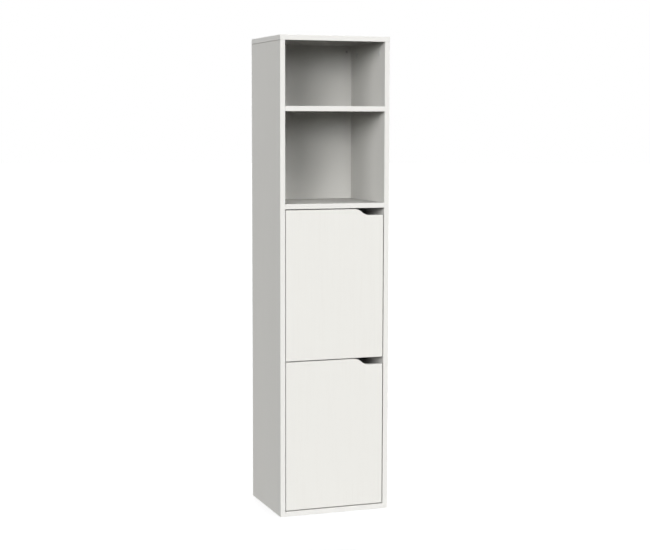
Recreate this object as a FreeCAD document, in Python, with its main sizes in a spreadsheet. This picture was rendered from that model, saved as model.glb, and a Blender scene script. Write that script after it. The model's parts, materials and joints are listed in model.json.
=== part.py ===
"""Tall bathroom cabinet: two open bays over two inset doors, in melamine-faced board.

Origin at the middle of the footprint on the floor. X runs to the right, Y to the back, Z up.
All sizes are in millimetres.
"""
import FreeCAD
import Part
import math
import os
import re
import Sketcher

V = FreeCAD.Vector

# Driving sizes: alias and value.
SIZES = [
    # carcass
    ("width", 360.0),
    ("height", 1500.0),
    ("side_depth", 297.0),
    ("board", 16.0),
    ("back_sheet", 3.0),
    ("back_inset", 1.0),
    ("edge_round", 0.8),
    ("seam_gap", 1.2),
    ("seam_depth", 2.0),
    ("top_bay", 200.0),
    ("display_bay", 285.0),
    ("divider_lift", 4.5),
    ("inner_setback", 34.0),
    # adjustable shelves and their pins
    ("shelf_play", 1.0),
    ("shelf_back_play", 3.0),
    ("pin_radius", 2.5),
    ("pin_hole_depth", 10.0),
    ("pin_reach", 8.0),
    ("pin_collar_radius", 4.0),
    ("pin_collar", 0.8),
    ("pin_pitch", 32.0),
    ("pin_row_front", 69.0),
    ("pin_row_back", 48.0),
    ("pins_in_row", 5.0),
    ("upper_pin_rise", 158.0),
    ("lower_pin_rise", 158.0),
    # doors
    ("door_gap", 3.0),
    ("door_gap_hinge", 2.0),
    ("grip_drop", 19.5),
    ("grip_flat", 47.0),
    ("grip_radius", 36.0),
    # wall-fixing holes
    ("wall_hole_radius", 3.0),
    ("wall_hole_inset", 17.0),
    ("wall_hole_drop", 19.0),
    # cam joints
    ("cam_radius", 7.5),
    ("cam_depth", 12.5),
    ("cam_play", 0.1),
    ("cam_reach", 34.0),
    ("cam_inset", 50.0),
    ("bolt_radius", 3.0),
    ("bolt_thread_radius", 2.5),
    ("bolt_thread", 11.0),
    ("bolt_head_radius", 3.6),
    ("bolt_head", 2.5),
    ("bolt_bore_radius", 4.0),
    ("cap_radius", 8.5),
    ("cap_thick", 1.0),
    ("dowel_radius", 4.0),
    ("dowel_length", 30.0),
    ("dowel_in_side", 10.0),
    ("dowel_end_play", 1.0),
    # back panel nails
    ("nail_radius", 0.8),
    ("nail_length", 18.0),
    ("nail_head_radius", 2.5),
    ("nail_head", 1.0),
    ("nail_end_inset", 60.0),
    ("nails_up_side", 7.0),
    # hinges
    ("hinge_inset", 90.0),
    ("pivot_inset", 18.0),
    ("pivot_depth", 8.0),
    ("pivot_radius", 1.5),
    ("pivot_length", 24.0),
    ("pivot_play", 0.06),
    ("cup_inset", 22.5),
    ("cup_radius", 17.5),
    ("cup_depth", 12.6),
    ("cup_wall", 1.0),
    ("well_width", 17.0),
    ("flange", 1.0),
    ("flange_radius", 19.0),
    ("ear_radius", 6.5),
    ("cup_screw_spacing", 48.0),
    ("cup_screw_offset", 6.0),
    ("arm_width", 13.0),
    ("arm_height", 4.4),
    ("arm_sheet", 1.2),
    ("eye_radius", 3.0),
    ("neck_reach", 16.0),
    ("neck_radius", 8.0),
    ("neck_clear", 1.1),
    ("heel_radius", 5.0),
    ("arm_tail", 17.0),
    ("spring_sheet", 0.5),
    ("spring_width", 6.0),
    ("spring_gap", 0.3),
    ("plate_line", 37.0),
    ("plate_sheet", 2.6),
    ("plate_wing", 6.0),
    ("plate_screw_spacing", 32.0),
    ("tongue_play", 0.3),
    ("screw_radius", 1.75),
    ("screw_length", 11.0),
    ("screw_head_radius", 3.4),
    ("screw_head", 1.8),
    ("clamp_radius", 2.0),
    ("clamp_length", 5.5),
    ("clamp_head_radius", 3.5),
    ("clamp_head", 1.6),
    ("clamp_back", 9.0),
    ("fit", 0.03),
]
SIZE = dict(SIZES)

doc = FreeCAD.newDocument("TallBathroomCabinet")
sheet = doc.addObject("Spreadsheet::Sheet", "Sizes")
for row, (alias, value) in enumerate(SIZES, start=1):
    sheet.set(f"A{row}", alias)
    sheet.set(f"B{row}", str(value))
    sheet.setAlias(f"B{row}", alias)
doc.recompute()

parts = []  # every finished sub-part, in the order of making


# ---------------------------------------------------------------- helpers

def formula(text):
    """Return the formula with each size's name turned into a reference to its cell."""
    return re.sub(r"[a-z]\w*", lambda m: f"Sizes.{m[0]}" if m[0] in SIZE else m[0], str(text))


def bind(thing, formulas):
    """Bind properties of an object to formulas of the sheet."""
    for name, text in formulas.items():
        thing.setExpression(name, formula(text))


def place(thing, x, y, z):
    """Bind the position of an object."""
    bind(thing, {"Placement.Base.x": x, "Placement.Base.y": y, "Placement.Base.z": z})


def finish(thing, label):
    """Name an object as a finished sub-part."""
    thing.Label = label
    parts.append(thing)
    return thing


DIRECTIONS = {
    "+X": FreeCAD.Rotation(V(0, 1, 0), 90),
    "-X": FreeCAD.Rotation(V(0, 1, 0), -90),
    "+Y": FreeCAD.Rotation(V(1, 0, 0), -90),
    "-Y": FreeCAD.Rotation(V(1, 0, 0), 90),
    "+Z": FreeCAD.Rotation(),
    "-Z": FreeCAD.Rotation(V(1, 0, 0), 180),
}


def new_body(name, x, y, z):
    """Start a body with its local origin at x, y, z."""
    body = doc.addObject("PartDesign::Body", name)
    place(body, x, y, z)
    return body


def origin_plane(body, role):
    """Return one of the body's own origin planes."""
    return next(f for f in body.Origin.OriginFeatures if f.Role == role)


def add_box(body, name, length, depth, height):
    """Add a box from the body's origin."""
    box = body.newObject("PartDesign::AdditiveBox", name)
    bind(box, {"Length": length, "Width": depth, "Height": height})
    return box


def drill(body, name, at, direction, radius, depth):
    """Cut a round hole from a point along one of the six directions."""
    hole = body.newObject("PartDesign::SubtractiveCylinder", name)
    hole.Placement = FreeCAD.Placement(V(), DIRECTIONS[direction])
    place(hole, *at)
    bind(hole, {"Radius": radius, "Height": depth})
    return hole


def repeat(body, feature, axis_role, pitch, count):
    """Repeat a feature along one of the body's own axes."""
    pattern = body.newObject("PartDesign::LinearPattern", feature.Name + "Row")
    pattern.Originals = [feature]
    pattern.Direction = (origin_plane(body, axis_role), [""])
    bind(pattern, {"Length": f"({pitch}) * ({count} - 1)", "Occurrences": count})
    body.Tip = pattern
    return pattern


def sketch_on(body, name, role):
    """Start a sketch on one of the body's origin planes."""
    sketch = body.newObject("Sketcher::SketchObject", name)
    sketch.AttachmentSupport = [(origin_plane(body, role), "")]
    sketch.MapMode = "FlatFace"
    return sketch


def dimension(sketch, kind, refs, guess, name, text):
    """Add a named dimension to a sketch and bind it to a formula."""
    index = sketch.addConstraint(Sketcher.Constraint(kind, *refs, guess))
    sketch.renameConstraint(index, name)
    sketch.setExpression(f"Constraints.{name}", formula(text))


def round_edges(body, name, radius, wanted):
    """Round the edges of the body's tip for which wanted(edge) holds."""
    doc.recompute()
    tip = body.Tip
    names = [f"Edge{i}" for i, edge in enumerate(tip.Shape.Edges, start=1) if wanted(edge)]
    fillet = body.newObject("PartDesign::Fillet", name)
    fillet.Base = (tip, names)
    bind(fillet, {"Radius": radius})
    body.Tip = fillet
    return fillet


def group(label, pieces):
    """Join loose pieces into one sub-part of separate solids."""
    compound = doc.addObject("Part::Compound", label)
    compound.Links = pieces
    return finish(compound, label)


def copy_of(master, name, at, rotation=None):
    """Place a copy of a master piece."""
    link = doc.addObject("App::Link", name)
    link.LinkedObject = master
    link.Placement = FreeCAD.Placement(V(), rotation or FreeCAD.Rotation())
    place(link, *at)
    return link


def outline(sketch, points):
    """Draw a closed outline whose corners are given by formulas."""
    count = len(points)
    for i in range(count):
        turn = 2 * math.pi / count
        start = V(10 * math.cos(i * turn), 10 * math.sin(i * turn), 0)
        end = V(10 * math.cos((i + 1) * turn), 10 * math.sin((i + 1) * turn), 0)
        sketch.addGeometry(Part.LineSegment(start, end), False)
    for i in range(count):
        sketch.addConstraint(Sketcher.Constraint("Coincident", i, 2, (i + 1) % count, 1))
    for i, (across, up) in enumerate(points):
        dimension(sketch, "DistanceX", (-1, 1, i, 1), 1.0, f"across{i}", across)
        dimension(sketch, "DistanceY", (-1, 1, i, 1), 1.0, f"up{i}", up)


def turned(name, points):
    """Make a master piece turned about Z from an outline of radius and height."""
    body = doc.addObject("PartDesign::Body", name)
    sketch = sketch_on(body, name + "Profile", "XZ_Plane")
    outline(sketch, points)
    revolution = body.newObject("PartDesign::Revolution", name + "Turning")
    revolution.Profile = sketch
    revolution.ReferenceAxis = (sketch, ["V_Axis"])
    revolution.Angle = 360
    return body


# ---------------------------------------------------------------- levels and lines

LEFT = "(-width / 2)"
FRONT = "(-(side_depth + back_sheet) / 2)"
BACK = "((side_depth - back_sheet) / 2)"
INNER_LEFT = "(-width / 2 + board)"
INNER_RIGHT = "(width / 2 - board)"
INNER_WIDTH = "(width - 2 * board)"
TOP_Z = "(height - board)"
DISPLAY_Z = "(height - 2 * board - top_bay)"
HEAD_Z = "(height - 3 * board - top_bay - display_bay)"
DOOR_HEIGHT = f"(({HEAD_Z} - board - 3 * door_gap) / 2)"
DOOR_WIDTH = f"({INNER_WIDTH} - door_gap_hinge - door_gap)"
LOWER_DOOR_Z = "(board + door_gap)"
UPPER_DOOR_Z = f"(board + 2 * door_gap + {DOOR_HEIGHT})"
DIVIDER_Z = f"({LOWER_DOOR_Z} + {DOOR_HEIGHT} + divider_lift)"
PIVOT_X = f"({INNER_LEFT} + door_gap_hinge + pivot_inset)"
PIVOT_Y = f"({FRONT} + pivot_depth)"
PLATE_Y = "(board + plate_line)"

# Fixed boards between the sides: label, level, front edge behind the front.
FIXED_BOARDS = [
    ("bottom_panel", "0", "0"),
    ("bay_divider", DIVIDER_Z, "inner_setback"),
    ("door_head_shelf", HEAD_Z, "0"),
    ("display_shelf", DISPLAY_Z, "0"),
]
CAM_ROWS = ["cam_inset", "(side_depth - cam_inset)"]
DOWEL_ROW = "(side_depth / 2)"
PIN_ROWS = ["pin_row_front", "(side_depth - pin_row_back)"]
BAYS = {
    "upper": f"({DIVIDER_Z} + board + upper_pin_rise)",
    "lower": "(board + lower_pin_rise)",
}
DOORS = {"upper_door": UPPER_DOOR_Z, "lower_door": LOWER_DOOR_Z}
HINGES = {"bottom": "hinge_inset", "top": f"({DOOR_HEIGHT} - hinge_inset)"}
PIN_STEP = "2 * pin_pitch"  # the shelf lies on the third pin hole
NAILED_LEVELS = [z for _, z, _ in FIXED_BOARDS] + [TOP_Z]
NAIL_PITCH = "(height - 2 * nail_end_inset) / (nails_up_side - 1)"

# Lines of a hinge, measured from its pivot with the door shut.
SIDE_FACE = "(-door_gap_hinge - pivot_inset)"
DOOR_BACK = "(board - pivot_depth)"
PLATE_LINE = f"({DOOR_BACK} + plate_line)"
NECK_Y = f"(sqrt(pivot_inset ^ 2 + {DOOR_BACK} ^ 2) + arm_height / 2 + neck_clear)"
LEG_X = f"({SIDE_FACE} + plate_sheet + fit + arm_height / 2)"
TAIL_Y = f"({PLATE_LINE} + arm_tail)"
CUP_X = "(cup_inset - pivot_inset)"
WEB_INNER = "(arm_sheet - arm_height / 2)"


# ---------------------------------------------------------------- boards

def hinge_places():
    """Yield each hinge's door, its place on the door and its height."""
    for door, door_z in DOORS.items():
        for where, rise in HINGES.items():
            yield door, where, f"({door_z} + {rise})"


def is_front_edge(edge):
    """Tell a board's long front edges, which carry the rounded band."""
    return edge.BoundBox.YMax < 0.001 and edge.Length > 2 * SIZE["board"]


def side_panel(label, x, inner_face, into, hinged):
    """Make a full-height side panel with its bores in the inner face.

    A narrow groove along its outer top edge is the shadow line under the top panel.
    """
    body = new_body(label + "_body", x, FRONT, "0")
    add_box(body, label + "_board", "board", "side_depth", TOP_Z)

    def is_seen_edge(edge):
        at_top = edge.BoundBox.ZMin > SIZE["height"] - SIZE["board"] - 0.001
        return is_front_edge(edge) or at_top and edge.BoundBox.YMax < 0.001

    round_edges(body, label + "_band", "edge_round", is_seen_edge)
    seam = body.newObject("PartDesign::SubtractiveBox", label + "_seam")
    place(seam, "board - seam_depth" if inner_face == "0" else "0", "0", f"{TOP_Z} - seam_gap")
    bind(seam, {"Length": "seam_depth", "Width": "side_depth", "Height": "seam_gap"})
    for board_label, z, _ in FIXED_BOARDS:
        middle = f"({z} + board / 2)"
        for row, y in enumerate(CAM_ROWS):
            drill(body, f"{label}_{board_label}_bolt{row}", (inner_face, y, middle), into,
                  "bolt_thread_radius + fit", "bolt_thread")
        drill(body, f"{label}_{board_label}_dowel", (inner_face, DOWEL_ROW, middle), into,
              "dowel_radius + fit", "dowel_in_side + dowel_end_play")
    for row, y in enumerate(CAM_ROWS):
        drill(body, f"{label}_cam{row}", (inner_face, y, f"{TOP_Z} - cam_reach"), into,
              "cam_radius", "cam_depth")
        drill(body, f"{label}_bore{row}", ("board / 2", y, TOP_Z), "-Z",
              "bolt_bore_radius", "cam_reach")
    drill(body, label + "_top_dowel", ("board / 2", DOWEL_ROW, TOP_Z), "-Z",
          "dowel_radius + fit", "dowel_length - dowel_in_side + dowel_end_play")
    for bay, z in BAYS.items():
        for row, y in enumerate(PIN_ROWS):
            hole = drill(body, f"{label}_{bay}_pins{row}", (inner_face, y, z), into,
                         "pin_radius + fit", "pin_hole_depth")
            repeat(body, hole, "Z_Axis", "pin_pitch", "pins_in_row")
    nail = drill(body, label + "_nails", ("board / 2", "side_depth", "nail_end_inset"), "-Y",
                 "nail_radius + fit", "nail_length - back_sheet")
    repeat(body, nail, "Z_Axis", NAIL_PITCH, "nails_up_side")
    if hinged:
        for door, where, z in hinge_places():
            for side, offset in (("low", "-"), ("high", "+")):
                drill(body, f"{label}_{door}_{where}_{side}",
                      (inner_face, PLATE_Y, f"{z} {offset} plate_screw_spacing / 2"), into,
                      "screw_radius + fit", "screw_length")
    return finish(body, label)


def fixed_board(label, z, setback):
    """Make a board fixed between the sides with cams near both ends."""
    body = new_body(label + "_body", INNER_LEFT, f"{FRONT} + {setback}", z)
    add_box(body, label + "_board", INNER_WIDTH, f"side_depth - {setback}", "board")
    round_edges(body, label + "_band", "edge_round", is_front_edge)
    ends = [("left", "0", "cam_reach", "+X"), ("right", INNER_WIDTH, f"{INNER_WIDTH} - cam_reach", "-X")]
    for end, face, cam_x, into in ends:
        for row, y in enumerate(CAM_ROWS):
            drill(body, f"{label}_{end}_cam{row}", (cam_x, f"{y} - {setback}", "0"), "+Z",
                  "cam_radius", "cam_depth")
            drill(body, f"{label}_{end}_bore{row}", (face, f"{y} - {setback}", "board / 2"), into,
                  "bolt_bore_radius", "cam_reach")
        drill(body, f"{label}_{end}_dowel", (face, f"{DOWEL_ROW} - {setback}", "board / 2"), into,
              "dowel_radius + fit", "dowel_length - dowel_in_side + dowel_end_play")
    drill(body, label + "_nail", (f"{INNER_WIDTH} / 2", f"side_depth - {setback}", "board / 2"), "-Y",
          "nail_radius + fit", "nail_length - back_sheet")
    return finish(body, label)


def top_panel(label):
    """Make the top panel, which lies over both sides."""
    body = new_body(label + "_body", LEFT, FRONT, TOP_Z)
    add_box(body, label + "_board", "width", "side_depth", "board")

    def is_outer_edge(edge):
        return edge.BoundBox.ZLength < 0.001 and edge.BoundBox.YMin < SIZE["side_depth"] - 0.001

    round_edges(body, label + "_band", "edge_round", is_outer_edge)
    for end, x in (("left", "board / 2"), ("right", "width - board / 2")):
        for row, y in enumerate(CAM_ROWS):
            drill(body, f"{label}_{end}_bolt{row}", (x, y, "0"), "+Z",
                  "bolt_thread_radius + fit", "bolt_thread")
        drill(body, f"{label}_{end}_dowel", (x, DOWEL_ROW, "0"), "+Z",
              "dowel_radius + fit", "dowel_in_side + dowel_end_play")
    drill(body, label + "_nail", ("width / 2", "side_depth", "board / 2"), "-Y",
          "nail_radius + fit", "nail_length - back_sheet")
    return finish(body, label)


def back_panel(label):
    """Make the thin back panel with its nail holes and the two wall-fixing holes."""
    body = new_body(label + "_body", f"{LEFT} + back_inset", BACK, "back_inset")
    add_box(body, label + "_sheet", "width - 2 * back_inset", "back_sheet", "height - 2 * back_inset")
    for end, x in (("left", "board / 2"), ("right", "width - board / 2")):
        first = "nail_end_inset - back_inset"
        nail = drill(body, f"{label}_{end}_nails", (f"{x} - back_inset", "0", first), "+Y",
                     "nail_radius + fit", "back_sheet")
        repeat(body, nail, "Z_Axis", NAIL_PITCH, "nails_up_side")
        seat = drill(body, f"{label}_{end}_nail_seats", (f"{x} - back_inset", "back_sheet", first), "-Y",
                     "nail_head_radius + fit", "nail_head")
        repeat(body, seat, "Z_Axis", NAIL_PITCH, "nails_up_side")
        inward = "board + wall_hole_inset" if end == "left" else "width - board - wall_hole_inset"
        drill(body, f"{label}_{end}_wall_hole",
              (f"{inward} - back_inset", "0", f"{TOP_Z} - wall_hole_drop - back_inset"), "+Y",
              "wall_hole_radius", "back_sheet")
    for level, z in enumerate(NAILED_LEVELS):
        middle = f"{z} + board / 2 - back_inset"
        drill(body, f"{label}_nail{level}", ("width / 2 - back_inset", "0", middle), "+Y",
              "nail_radius + fit", "back_sheet")
        drill(body, f"{label}_nail_seat{level}", ("width / 2 - back_inset", "back_sheet", middle), "-Y",
              "nail_head_radius + fit", "nail_head")
    return finish(body, label)


def adjustable_shelf(label, z):
    """Make a loose shelf that rests on four pins."""
    body = new_body(label + "_body", f"{INNER_LEFT} + shelf_play", f"{FRONT} + inner_setback", z)
    add_box(body, label + "_board", f"{INNER_WIDTH} - 2 * shelf_play",
            "side_depth - inner_setback - shelf_back_play", "board")
    round_edges(body, label + "_band", "edge_round", is_front_edge)
    return finish(body, label)


# ---------------------------------------------------------------- doors

def door_outline(body, label):
    """Draw a door's front with the S-shaped grip at its top right corner."""
    sketch = sketch_on(body, label + "_outline", "XZ_Plane")
    wide = SIZE["width"] - 2 * SIZE["board"] - SIZE["door_gap_hinge"] - SIZE["door_gap"]
    tall = (SIZE["height"] - 4 * SIZE["board"] - SIZE["top_bay"] - SIZE["display_bay"]
            - 3 * SIZE["door_gap"]) / 2
    drop, flat, radius = SIZE["grip_drop"], SIZE["grip_flat"], SIZE["grip_radius"]
    sweep = math.acos(1 - drop / (2 * radius))
    curve = 2 * radius * math.sin(sweep)
    corners = [V(0, 0), V(wide, 0), V(wide, tall - drop), V(wide - flat, tall - drop)]
    curve_top = V(wide - flat - curve, tall)
    for start, end in zip(corners, corners[1:]):
        sketch.addGeometry(Part.LineSegment(start, end), False)
    valley = Part.Circle(corners[3] + V(0, radius), V(0, 0, 1), radius)
    crest = Part.Circle(curve_top - V(0, radius), V(0, 0, 1), radius)
    sketch.addGeometry(Part.ArcOfCircle(valley, 1.5 * math.pi - sweep, 1.5 * math.pi), False)
    sketch.addGeometry(Part.ArcOfCircle(crest, math.pi / 2 - sweep, math.pi / 2), False)
    sketch.addGeometry(Part.LineSegment(curve_top, V(0, tall)), False)
    sketch.addGeometry(Part.LineSegment(V(0, tall), V(0, 0)), False)
    bottom, right, level, low_arc, high_arc, top, left = range(7)
    joints = [("Coincident", bottom, 2, right, 1), ("Coincident", right, 2, level, 1),
              ("Tangent", level, 2, low_arc, 2), ("Tangent", low_arc, 1, high_arc, 1),
              ("Tangent", high_arc, 2, top, 1), ("Coincident", top, 2, left, 1),
              ("Coincident", left, 2, bottom, 1), ("Coincident", bottom, 1, -1, 1)]
    for joint in joints:
        sketch.addConstraint(Sketcher.Constraint(*joint))
    for line in (bottom, level, top):
        sketch.addConstraint(Sketcher.Constraint("Horizontal", line))
    for line in (right, left):
        sketch.addConstraint(Sketcher.Constraint("Vertical", line))
    sketch.addConstraint(Sketcher.Constraint("Equal", low_arc, high_arc))
    dimension(sketch, "DistanceX", (-1, 1, bottom, 2), wide, "wide", DOOR_WIDTH)
    dimension(sketch, "DistanceY", (-1, 1, top, 2), tall, "tall", DOOR_HEIGHT)
    dimension(sketch, "DistanceY", (right, 2, top, 2), drop, "drop", "grip_drop")
    dimension(sketch, "DistanceX", (level, 2, level, 1), flat, "flat", "grip_flat")
    dimension(sketch, "Radius", (low_arc,), radius, "radius", "grip_radius")
    return sketch


def door(label, z):
    """Make a door with its grip, its banded edges and the bores for two hinge cups."""
    body = new_body(label + "_body", f"{INNER_LEFT} + door_gap_hinge", FRONT, z)
    pad = body.newObject("PartDesign::Pad", label + "_board")
    pad.Profile = door_outline(body, label)
    pad.Reversed = True
    bind(pad, {"Length": "board"})

    def is_face_edge(edge):
        return edge.BoundBox.YLength < 0.001

    round_edges(body, label + "_band", "edge_round", is_face_edge)
    for where, rise in HINGES.items():
        drill(body, f"{label}_{where}_cup", ("cup_inset", "board", rise), "-Y", "cup_radius", "cup_depth")
        for side, offset in (("low", "-"), ("high", "+")):
            drill(body, f"{label}_{where}_{side}_pilot",
                  ("cup_inset + cup_screw_offset", "board", f"{rise} {offset} cup_screw_spacing / 2"), "-Y",
                  "screw_radius + fit", "screw_length")
    return finish(body, label + "_panel")


# ---------------------------------------------------------------- hinge masters, origin at the pivot

def gooseneck(body, name, kind, start_x, inner, outer, width, end_y):
    """Sweep a flat bar along the arm's gooseneck, from near the pivot to the tail.

    inner and outer are the bar's two faces beside the arm's middle line.
    """
    spine = sketch_on(body, name + "_spine", "XY_Plane")
    guess = SIZE["neck_radius"]
    spine.addGeometry(Part.LineSegment(V(1, 0), V(guess, 0)), False)
    first = Part.Circle(V(guess, guess), V(0, 0, 1), guess)
    spine.addGeometry(Part.ArcOfCircle(first, -math.pi / 2, 0), False)
    spine.addGeometry(Part.LineSegment(V(2 * guess, guess), V(2 * guess, 2 * guess)), False)
    second = Part.Circle(V(guess, 2 * guess), V(0, 0, 1), guess)
    spine.addGeometry(Part.ArcOfCircle(second, 0, math.pi / 2), False)
    spine.addGeometry(Part.LineSegment(V(guess, 3 * guess), V(-guess, 3 * guess)), False)
    heel = Part.Circle(V(-guess, 4 * guess), V(0, 0, 1), guess)
    spine.addGeometry(Part.ArcOfCircle(heel, math.pi, 1.5 * math.pi), False)
    spine.addGeometry(Part.LineSegment(V(-2 * guess, 4 * guess), V(-2 * guess, 7 * guess)), False)
    reach, low_arc, rise, high_arc, run, heel_arc, tail = range(7)
    joints = [(reach, 2, low_arc, 1), (low_arc, 2, rise, 1), (rise, 2, high_arc, 1),
              (high_arc, 2, run, 1), (run, 2, heel_arc, 2), (heel_arc, 1, tail, 1)]
    for joint in joints:
        spine.addConstraint(Sketcher.Constraint("Tangent", *joint))
    spine.addConstraint(Sketcher.Constraint("Horizontal", reach))
    spine.addConstraint(Sketcher.Constraint("Vertical", rise))
    spine.addConstraint(Sketcher.Constraint("Horizontal", run))
    spine.addConstraint(Sketcher.Constraint("Vertical", tail))
    spine.addConstraint(Sketcher.Constraint("PointOnObject", reach, 1, -1))
    dimension(spine, "DistanceX", (-1, 1, reach, 1), 1.0, "start", start_x)
    dimension(spine, "DistanceX", (-1, 1, rise, 1), 2 * guess, "reach", "neck_reach")
    dimension(spine, "Radius", (low_arc,), guess, "low_radius", "neck_radius")
    dimension(spine, "Radius", (high_arc,), guess, "high_radius", "neck_radius")
    dimension(spine, "Radius", (heel_arc,), guess, "heel_radius", "heel_radius")
    dimension(spine, "DistanceY", (-1, 1, run, 1), 3 * guess, "rise", NECK_Y)
    dimension(spine, "DistanceX", (-1, 1, tail, 1), -2 * guess, "leg", LEG_X)
    dimension(spine, "DistanceY", (-1, 1, tail, 2), 7 * guess, "end", end_y)
    section = sketch_on(body, name + "_section", "YZ_Plane")
    section.setExpression("AttachmentOffset.Base.z", formula(start_x))
    outline(section, [(outer, f"-({width}) / 2"), (inner, f"-({width}) / 2"),
                      (inner, f"({width}) / 2"), (outer, f"({width}) / 2")])
    pipe = body.newObject(f"PartDesign::{kind}Pipe", name)
    pipe.Profile = section
    pipe.Spine = (spine, [f"Edge{i + 1}" for i in range(7)])
    return pipe


def cylinder_across(body, name, kind, radius, length):
    """Add or cut a round bar along Z, centred on the pivot."""
    bar = body.newObject(f"PartDesign::{kind}Cylinder", name)
    place(bar, "0", "0", f"-({length}) / 2")
    bind(bar, {"Radius": radius, "Height": length})
    return bar


def hinge_arm_master():
    """Make the cranked arm: a pressed channel with an eye in each cheek."""
    body = doc.addObject("PartDesign::Body", "HingeArm")
    cylinder_across(body, "ArmEye", "Additive", "eye_radius", "arm_width")
    gooseneck(body, "ArmBar", "Additive", "0", "arm_height / 2", "-arm_height / 2", "arm_width", TAIL_Y)
    gooseneck(body, "ArmChannel", "Subtractive", "0", "arm_height / 2 + arm_sheet", WEB_INNER,
              "arm_width - 2 * arm_sheet", f"{TAIL_Y} + arm_sheet")
    gap = body.newObject("PartDesign::SubtractiveBox", "ArmEyeGap")
    place(gap, "-eye_radius - arm_sheet", "-eye_radius - arm_sheet", "arm_sheet - arm_width / 2")
    bind(gap, {"Length": "eye_radius + arm_sheet", "Width": "2 * (eye_radius + arm_sheet)",
               "Height": "arm_width - 2 * arm_sheet"})
    cylinder_across(body, "ArmBore", "Subtractive", "pivot_radius + pivot_play", "arm_width + 2")
    drill(body, "ArmClampHole", (f"{LEG_X} + arm_height", f"{PLATE_LINE} + clamp_back", "0"), "-X",
          "clamp_radius + fit", "2 * arm_height")
    return body


def hinge_spring_master():
    """Make the leaf spring that lies along the arm's web."""
    body = doc.addObject("PartDesign::Body", "HingeSpring")
    gooseneck(body, "SpringLeaf", "Additive", "pivot_radius + spring_gap",
              f"{WEB_INNER} + fit + spring_sheet", f"{WEB_INNER} + fit", "spring_width",
              f"{PLATE_LINE} - plate_wing")
    return body


def hinge_cup_master():
    """Make the cup: a round shell with a flange, two screw ears and a well for the arm."""
    body = doc.addObject("PartDesign::Body", "HingeCup")
    drum = body.newObject("PartDesign::AdditiveCylinder", "CupDrum")
    drum.Placement = FreeCAD.Placement(V(), DIRECTIONS["-Y"])
    place(drum, CUP_X, DOOR_BACK, "0")
    bind(drum, {"Radius": "cup_radius - fit", "Height": "cup_depth"})
    rim = body.newObject("PartDesign::AdditiveCylinder", "CupFlange")
    rim.Placement = FreeCAD.Placement(V(), DIRECTIONS["+Y"])
    place(rim, CUP_X, DOOR_BACK, "0")
    bind(rim, {"Radius": "flange_radius", "Height": "flange"})
    strap = body.newObject("PartDesign::AdditiveBox", "CupStrap")
    place(strap, f"{CUP_X} + cup_screw_offset - ear_radius", DOOR_BACK, "-cup_screw_spacing / 2")
    bind(strap, {"Length": "2 * ear_radius", "Width": "flange", "Height": "cup_screw_spacing"})
    for side, z in (("Low", "-cup_screw_spacing / 2"), ("High", "cup_screw_spacing / 2")):
        ear = body.newObject("PartDesign::AdditiveCylinder", f"CupEar{side}")
        ear.Placement = FreeCAD.Placement(V(), DIRECTIONS["+Y"])
        place(ear, f"{CUP_X} + cup_screw_offset", DOOR_BACK, z)
        bind(ear, {"Radius": "ear_radius", "Height": "flange"})
    well = sketch_on(body, "CupWellOutline", "XZ_Plane")
    well.setExpression("AttachmentOffset.Base.z", formula(f"-{DOOR_BACK} - flange"))
    middle, inner = SIZE["cup_inset"] - SIZE["pivot_inset"], SIZE["cup_radius"] - SIZE["cup_wall"]
    half = SIZE["well_width"] / 2
    spread = math.asin(half / inner)
    across = inner * math.cos(spread)
    circle = Part.Circle(V(middle, 0), V(0, 0, 1), inner)
    well.addGeometry(Part.ArcOfCircle(circle, -spread, spread), False)
    well.addGeometry(Part.LineSegment(V(middle + across, half), V(middle - across, half)), False)
    well.addGeometry(Part.ArcOfCircle(circle, math.pi - spread, math.pi + spread), False)
    well.addGeometry(Part.LineSegment(V(middle - across, -half), V(middle + across, -half)), False)
    right, upper, left, lower = range(4)
    joints = [(right, 2, upper, 1), (upper, 2, left, 1), (left, 2, lower, 1), (lower, 2, right, 1),
              (right, 3, left, 3)]
    for joint in joints:
        well.addConstraint(Sketcher.Constraint("Coincident", *joint))
    well.addConstraint(Sketcher.Constraint("Horizontal", upper))
    well.addConstraint(Sketcher.Constraint("Horizontal", lower))
    well.addConstraint(Sketcher.Constraint("PointOnObject", right, 3, -1))
    dimension(well, "DistanceX", (-1, 1, right, 3), middle, "middle", CUP_X)
    dimension(well, "Radius", (right,), inner, "inner", "cup_radius - cup_wall")
    dimension(well, "DistanceY", (-1, 1, right, 2), half, "half", "well_width / 2")
    dimension(well, "DistanceY", (right, 1, -1, 1), half, "other_half", "well_width / 2")
    pocket = body.newObject("PartDesign::Pocket", "CupWell")
    pocket.Profile = well
    pocket.Reversed = True
    bind(pocket, {"Length": "flange + cup_depth - cup_wall"})
    body.Tip = pocket
    cylinder_across(body, "CupPinBore", "Subtractive", "pivot_radius + fit", "pivot_length")
    for side, z in (("Low", "-cup_screw_spacing / 2"), ("High", "cup_screw_spacing / 2")):
        drill(body, f"CupScrewHole{side}", (f"{CUP_X} + cup_screw_offset", f"{DOOR_BACK} + flange", z), "-Y",
              "screw_radius + fit", "flange")
    return body


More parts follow.
